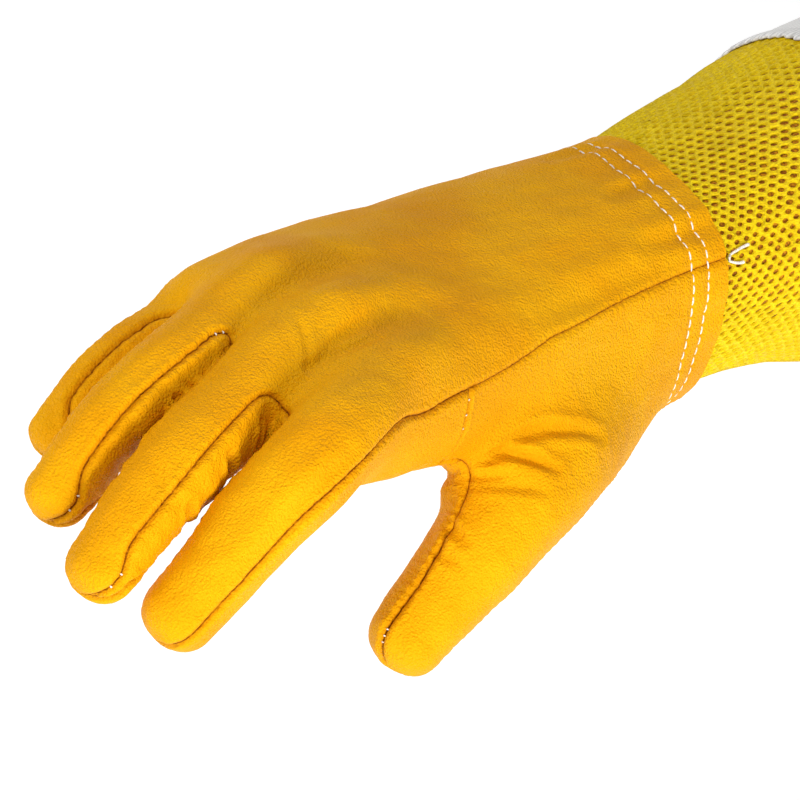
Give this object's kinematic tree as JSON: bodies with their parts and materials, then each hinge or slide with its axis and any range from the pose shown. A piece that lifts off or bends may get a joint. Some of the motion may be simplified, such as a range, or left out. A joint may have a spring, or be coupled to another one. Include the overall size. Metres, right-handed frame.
{
  "type": "beekeeping glove",
  "caption": "Right-hand beekeeping glove in its worn shape: goatskin hand, ventilated spacer-mesh wrist and elasticated canvas sleeve, flexing at wrist, knuckles, thumb and fingers.",
  "frame": {"origin": "centre of the open elbow end of the canvas sleeve", "axes": "+X from the elbow end towards the fingertips, +Y towards the thumb side, +Z towards the back of the hand"},
  "size_m": [0.491, 0.1533, 0.1228],
  "materials": {
    "leather": "satin",
    "spacer_mesh": "matte",
    "mesh_lining": "matte",
    "binding": "matte",
    "canvas": "matte",
    "elastic": "matte",
    "thread": "matte"
  },
  "bodies": {
    "gauntlet": {"canvas_sleeve": "canvas", "elastic_band": "elastic", "canvas_side_seam": "canvas", "mesh_outer_layer": "spacer_mesh", "mesh_inner_layer": "mesh_lining", "mesh_side_seam": "mesh_lining", "mesh_edge_binding": "binding", "cuff_back": "leather", "cuff_palm": "leather", "cuff_stitch_rear": "thread", "cuff_stitch_front": "thread"},
    "hand": {"hand_back": "leather", "hand_palm": "leather", "thumb_root_outer": "leather", "thumb_root_inner": "leather"},
    "knuckle_row": {"knuckle_row_back": "leather", "knuckle_row_palm": "leather", "index_back_near": "leather", "index_side_outer_near": "leather", "index_front_near": "leather", "middle_back_near": "leather", "middle_side_outer_near": "leather", "middle_front_near": "leather", "middle_side_thumb_near": "leather", "ring_back_near": "leather", "ring_side_outer_near": "leather", "ring_front_near": "leather", "ring_side_thumb_near": "leather", "little_back_near": "leather", "little_front_near": "leather", "little_side_thumb_near": "leather"},
    "thumb": {"thumb_outer": "leather", "thumb_inner": "leather"},
    "index": {"index_back_far": "leather", "index_side_outer_far": "leather", "index_front_far": "leather"},
    "middle": {"middle_back_far": "leather", "middle_side_outer_far": "leather", "middle_front_far": "leather", "middle_side_thumb_far": "leather"},
    "ring": {"ring_back_far": "leather", "ring_side_outer_far": "leather", "ring_front_far": "leather", "ring_side_thumb_far": "leather"},
    "little": {"little_back_far": "leather", "little_front_far": "leather", "little_side_thumb_far": "leather"}
  },
  "joints": [
    {"name": "wrist_bend", "type": "hinge", "parent": "gauntlet", "child": "hand", "pos_m": [0.27, 0.004, 0.0015], "axis": [-0.122, 0.9909, 0.057], "range_deg": [-30, 40]},
    {"name": "knuckle_bend", "type": "hinge", "parent": "hand", "child": "knuckle_row", "pos_m": [0.384, 0.022, 0.0155], "axis": [-0.05, 0.9972, 0.055], "range_deg": [-15, 40]},
    {"name": "thumb_bend", "type": "hinge", "parent": "hand", "child": "thumb", "pos_m": [0.336, 0.0715, -0.032], "axis": [-0.5328, 0.8337, -0.145], "range_deg": [-10, 40]},
    {"name": "index_bend", "type": "hinge", "parent": "knuckle_row", "child": "index", "pos_m": [0.422, 0.074, 0.021], "axis": [-0.3598, 0.9326, 0.029], "range_deg": [-25, 45]},
    {"name": "middle_bend", "type": "hinge", "parent": "knuckle_row", "child": "middle", "pos_m": [0.4414, 0.0495, 0.0125], "axis": [-0.3569, 0.9337, 0.03], "range_deg": [-25, 45]},
    {"name": "ring_bend", "type": "hinge", "parent": "knuckle_row", "child": "ring", "pos_m": [0.4359, 0.0245, 0.014], "axis": [-0.2992, 0.9535, 0.037], "range_deg": [-25, 45]},
    {"name": "little_bend", "type": "hinge", "parent": "knuckle_row", "child": "little", "pos_m": [0.4209, -0.004, 0.007], "axis": [-0.2151, 0.9755, 0.047], "range_deg": [-25, 45]}
  ]
}
